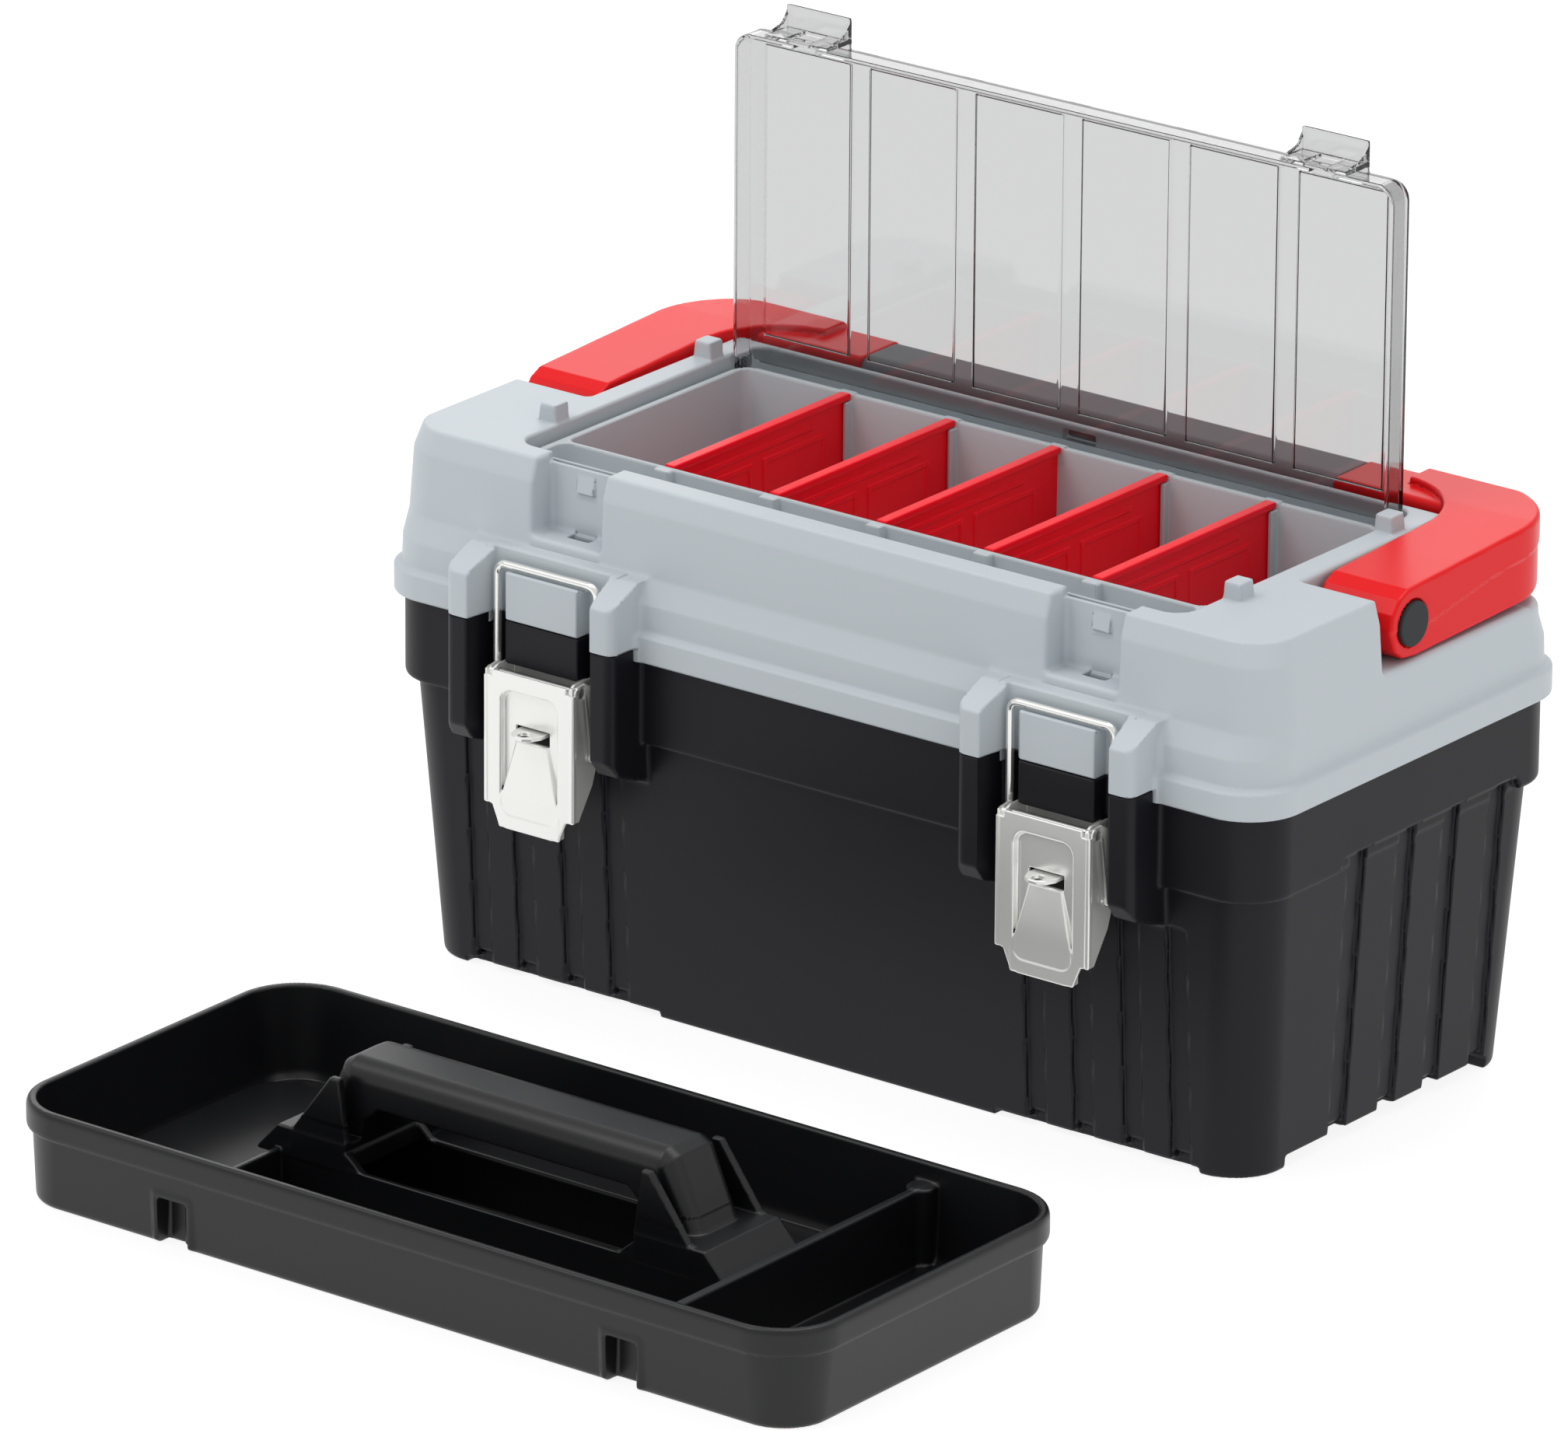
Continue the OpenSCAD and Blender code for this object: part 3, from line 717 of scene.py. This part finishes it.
# ---------------------------------------------------------------- latches, built about x = 0
def build_lever():
    s = Shape(True)
    w = 24.5
    pl = [(-w, 155), (w, 155), (w, 94), (w - 4.2, 93), (w - 8.2, 83.5), (-w + 8.2, 83.5), (-w + 4.2, 93), (-w, 94)]
    s.add(poly("y", pl, -130.5, -129, 0.5, 0.6))
    cheek = [(-130.5, 155), (-122, 156.2), (-115.6, 152.5), (-113.8, 146), (-113.8, 116), (-116.5, 108), (-126, 93.5), (-130.5, 93.5)]
    s.add(poly("x", cheek, w - 1.5, w, 0.5, 0.5), 1.2)
    # pressed field with a fan that rises to the tip
    s.add(poly("y", [(-16.8, 99), (16.8, 99), (16.8, 148.6), (-16.8, 148.6)], -129.6, -126.0, 1.4, 6), 1.2)
    s.cut(poly("y", [(-15.2, 90), (15.2, 90), (15.2, 147), (-15.2, 147)], -140, -127.5, 1.2, 5.5), 1.6)
    fan = Shape()
    fan.add(poly("y", [(-8.6, 124.5), (8.6, 124.5), (16.6, 94), (16.6, 84), (-16.6, 84), (-16.6, 94)], -130.5, -126.2, 0.4, 0.6))
    fan.keep(poly("x", [(-128.0, 125), (-130.5, 98), (-130.5, 80), (-120, 80), (-120, 125)], -40, 40, 0.3), 1.0)
    s.add((fan.whole, (-16.6, -130.5, 84), (16.6, -126.2, 124.5)), 0.8)
    s.cut(box(-9.2, 9.2, -135, -120, 124.6, 131.2, 0.5), 0.4)
    s.cut(box(20.3, 30, -137, -127.5, 152.2, 160, 0.3), 0.4)
    s.add(cyl("x", -127.4, 153.2, 1.9, 20.6, 25.0, 0.6), 0.6)
    # capsule pressed out of the cheek
    s.add(tube([(w - 3.4, -123.8, 148.5), (w - 3.4, -119.6, 123)], 4.4), 0.6)
    s.cut(tube([(w - 4.9, -123.8, 148.5), (w - 4.9, -119.6, 123)], 4.4), 0.4)
    s.add(poly("x", cheek, w - 1.5, w - 0.4, 0.3, 0.5), 0.4)
    s.cut(box(-22.4, 22.4, -125.6, -100, 147, 156.4, 0.4))
    s.cut(box(-30, 30, -113.6, -100, 80, 160, 0.2))
    s.cut(cyl("x", -124.5, 152, 2.06, -30, 30, 0.1))
    s.cut(cyl("x", -117.5, 120.5, 1.98, -30, 30, 0.1))
    s.add(box(-13, 13, -130.4, -126.6, 83.4, 84.8, 0.5), 0.8)
    return s


def build_plate():
    s = Shape(True)
    s.add(box(-22, 22, -114.5, -113, 128.5, 155, 0.3))
    s.add(cyl("x", -124.5, 152, 4.2, 20.5, 22, 0.3))
    s.add(box(20.5, 22, -124.5, -113.5, 147.8, 156.2, 0.3))
    s.add(poly("z", [(-7.6, -114), (7.6, -114), (7.6, -131), (5.6, -135.6), (2.2, -138), (-2.2, -138), (-5.6, -135.6), (-7.6, -131)],
               128.6, 130.4, 0.4, 1.0), 0.4)
    s.cut(cyl("z", 0, -133.4, 2.9, 120, 140, 0.1), 0.3)
    s.cut(cyl("x", -124.5, 152, 2.0, -30, 30, 0.1))
    return s


def build_wire():
    s = Shape()
    xw, r = 27.4, 4.5
    pts = [(21.8, -117.5, 120.5), (xw - 2.4, -117.5, 120.5)]
    pts += [(xw - 2.4 + 2.4 * math.sin(a), -117.5, 120.5 + 2.4 * (1 - math.cos(a))) for a in np.linspace(0, math.pi / 2, 7)[1:]]
    pts += [(xw - r + r * math.cos(a), -117.5, 199 - r + r * math.sin(a)) for a in np.linspace(0, math.pi / 2, 9)]
    pts += [(-x, y, z) for x, y, z in pts[::-1]]
    s.add(tube(pts, 1.85))
    return s


# ---------------------------------------------------------------- tray, built about its own centre
def moved(prim, dx, dy):
    f, a, b = prim
    return (lambda x, y, z: f(x - dx, y - dy, z)), (a[0] + dx, a[1] + dy, a[2]), (b[0] + dx, b[1] + dy, b[2])


def build_tray():
    s = Shape()
    tx, ty, h = 212.0, 95.5, 45.0
    s.add(loft([(0, tx - 6.2, ty - 6.5, 21), (1.5, tx - 4.9, ty - 5.2, 22), (36, tx - 2.6, ty - 2.7, 27)], e=0.5))
    s.add(loft([(32.6, tx - 0.8, ty - 0.8, 29), (34, tx, ty, 30), (43, tx, ty, 30), (45, tx - 1.0, ty - 1.0, 29)], e=0.8), 0.8)
    s.cut(loft([(3, tx - 9.5, ty - 9.8, 18), (6, tx - 7.8, ty - 8, 20), (45.5, tx - 4.3, ty - 4.3, 26)], e=0.5, soft=1.5), 1.0)
    for x in (-119.5, 119):
        s.add(box(x - 10.5, x + 10.5, -92, -80, 1, 24, 1.5), 2.0)
        s.cut(box(x - 8, x + 8, -120, -83.5, -6, 21, 1.5), 1.2)
    s.add(box(135, 139.5, -ty + 6, ty - 6, 2, 37, 1.0), 1.5)
    s.add(box(-114.5, -111, -ty + 6, ty - 6, 2, 28, 1.0), 1.5)
    s.add(cyl("z", 137.2, ty - 9, 6.5, 2, 37, 1.0), 2.0)
    for y in (-30, 18):
        s.add(box(-113, 137, y, y + 3, 2, 27, 0.9), 1.5)
    s.add(rbox(-201, -112, -72, 72, 16, 2, 7, 1.5), 2.0)
    # handle: a bar with sloping legs, a stepped foot and a fin in the plane of each twin wall
    for m in (-1, 1):
        s.add(poly("y", [(m * 126, 24.5), (m * 76, 24.5), (m * 76, 38), (m * 113.5, 38)], -30, 21, 1.0, 0.8), 0.8)
        fin = [(m * 107, 25), (m * 107, 38), (m * 105.5, 38.5), (m * 85, 66), (m * 80.4, 66), (m * 76, 34), (m * 68, 27), (m * 68, 24.5)]
        for y0, y1 in ((-30, -26), (17, 21)):
            s.add(poly("y", fin, y0, y1, 1.0, 0.8), 1.2)
    s.add(poly("y", [(-104, 34), (-88.5, 69), (-83, 72), (83, 72), (88.5, 69), (104, 34)], -21, 13, 9.0, 1.5), 1.2)
    s.cut(poly("y", [(-77, 34), (-74, 46), (-66, 52.8), (66, 52.8), (74, 46), (77, 34), (69, 27.2), (-69, 27.2)], -60, 60, 0.6, 1.5), 1.0)
    s.ops = [(op, moved(p, 32.6, -340.5), k) for op, p, k in s.ops]
    return s


# ---------------------------------------------------------------- build
if True:
    make("base_shell", build_base(), 1.5, 170000, M_BASE, "base", ["base_tub"])
    make("lid_shell", build_lid(), 1.25, 180000, M_LID, "lid", ["main_lid"])
    make("organiser_insert", build_bin(), 1.1, 90000, M_BIN, "lid", ["organiser_bin"])
    make("cover_moulding", build_cover(), 0.9, 120000, M_CLEAR, "cover", ["clear_cover"])
    make("handle_moulding", build_bail(), 1.2, 60000, M_RED, "handle", ["handle_bail"])
    make("grip_sleeve", build_grip(), 1.2, 20000, M_GRIP, "handle", ["handle_grip"])
    make("tray_moulding", build_tray(), 1.25, 150000, M_TRAY, "tray", ["tool_tray"])


def copy_of(src, name, dx, body, node, flip=False):
    me = src.data.copy()
    if flip:
        me.transform(Matrix.Scale(-1, 4, (1, 0, 0)))
        me.flip_normals()
    me.transform(Matrix.Translation((dx / 1000, 0, 0)))
    o = bpy.data.objects.new(name, me)
    bpy.context.scene.collection.objects.link(o)
    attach(o, body)
    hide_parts(node)
    return o


def pair(base_name, shape, h, faces, mat, bodies, nodes, dx):
    src = make(base_name, shape, h, faces, mat, None, None)
    for b, n, x in zip(bodies, nodes, dx):
        copy_of(src, base_name + "_" + n, x, b, n)
    bpy.data.objects.remove(src)


pair("divider_plate", build_divider(), 0.55, 14000, M_DIV, ["divider_%d_body" % i for i in range(1, 6)],
     ["divider_%d" % i for i in range(1, 6)], [k * 57.5 for k in range(-2, 3)])
pair("lever", build_lever(), 0.5, 50000, M_STEEL, ["lever_left", "lever_right"],
     ["latch_lever_left", "latch_lever_right"], [-L, L])
pair("eye_plate", build_plate(), 0.5, 16000, M_STEEL, ["base", "base"],
     ["latch_plate_left", "latch_plate_right"], [-L, L])
pair("bail_wire", build_wire(), 0.36, 30000, M_WIRE, ["wire_left", "wire_right"],
     ["latch_wire_left", "latch_wire_right"], [-L, L])
src = make("pivot_cap", build_pivot(), 0.8, 8000, M_DISC, None, None)
copy_of(src, "pivot_cap_right", 0, "lid", "handle_pivot_right")
copy_of(src, "pivot_cap_left", 0, "lid", "handle_pivot_left", True)
bpy.data.objects.remove(src)

for n in ("lid_hinge_pins", "latch_pin_left", "latch_pin_right"):
    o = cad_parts[n]
    o.data.materials.clear()
    o.data.materials.append(M_PIN)

# ---------------------------------------------------------------- stage
fm = bpy.data.materials.new("floor")
fm.use_nodes = True
fb = fm.node_tree.nodes["Principled BSDF"]
fb.inputs["Base Color"].default_value = (0.16, 0.16, 0.16, 1)
fb.inputs["Roughness"].default_value = 0.6
fb.inputs["Emission Color"].default_value = (1, 1, 1, 1)
fb.inputs["Emission Strength"].default_value = 0.88
me = bpy.data.meshes.new("floor")
me.from_pydata([(-12, -12, 0), (12, -12, 0), (12, 12, 0), (-12, 12, 0)], [], [(0, 1, 2, 3)])
me.materials.append(fm)
floor = bpy.data.objects.new("floor", me)
bpy.context.scene.collection.objects.link(floor)

world = bpy.data.worlds.new("w")
bpy.context.scene.world = world
world.use_nodes = True
bg = world.node_tree.nodes["Background"]
bg.inputs["Color"].default_value = (1, 1, 1, 1)
bg.inputs["Strength"].default_value = 0.74


def area(name, loc, target, size, power, color=(1, 1, 1), size_y=None):
    ld = bpy.data.lights.new(name, "AREA")
    ld.energy = power
    ld.size = size
    if size_y:
        ld.shape = "RECTANGLE"
        ld.size_y = size_y
    ld.color = color
    o = bpy.data.objects.new(name, ld)
    o.location = loc
    o.rotation_euler = (Vector(target) - Vector(loc)).to_track_quat("-Z", "Y").to_euler()
    bpy.context.scene.collection.objects.link(o)
    return o


area("key", (-1.0, -1.6, 2.6), (0, 0, 0.15), 1.6, 22)
area("top", (0.2, 0.4, 2.8), (0, 0, 0.2), 1.6, 22)
area("side", (2.4, -0.6, 1.4), (0, 0, 0.15), 1.2, 2.2)
area("back", (-2.4, 3.1, 1.7), (0, 0, 0.15), 2.4, 14, size_y=1.4)

# ---------------------------------------------------------------- camera
az, el, roll = math.radians(37.65), math.radians(20.158), math.radians(0.37)
b = Vector((math.sin(az) * math.cos(el), -math.cos(az) * math.cos(el), math.sin(el)))
right = (-b).cross(Vector((0, 0, 1))).normalized()
up = right.cross(-b)
r2 = right * math.cos(roll) + up * math.sin(roll)
u2 = -right * math.sin(roll) + up * math.cos(roll)
cd = bpy.data.cameras.new("cam")
cd.sensor_width = 36
cd.lens = 18214 / 2016 * 36
cd.clip_end = 100
cam = bpy.data.objects.new("cam", cd)
m = Matrix((r2, u2, b)).transposed().to_4x4()
m.translation = Vector((-0.099884, 0, 0.110124)) + b * 6.1979
cam.matrix_world = m
bpy.context.scene.collection.objects.link(cam)
bpy.context.scene.camera = cam
bpy.context.scene.view_settings.view_transform = "Standard"

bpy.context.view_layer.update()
print("TOTAL %.1f s" % (time.time() - T0), flush=True)
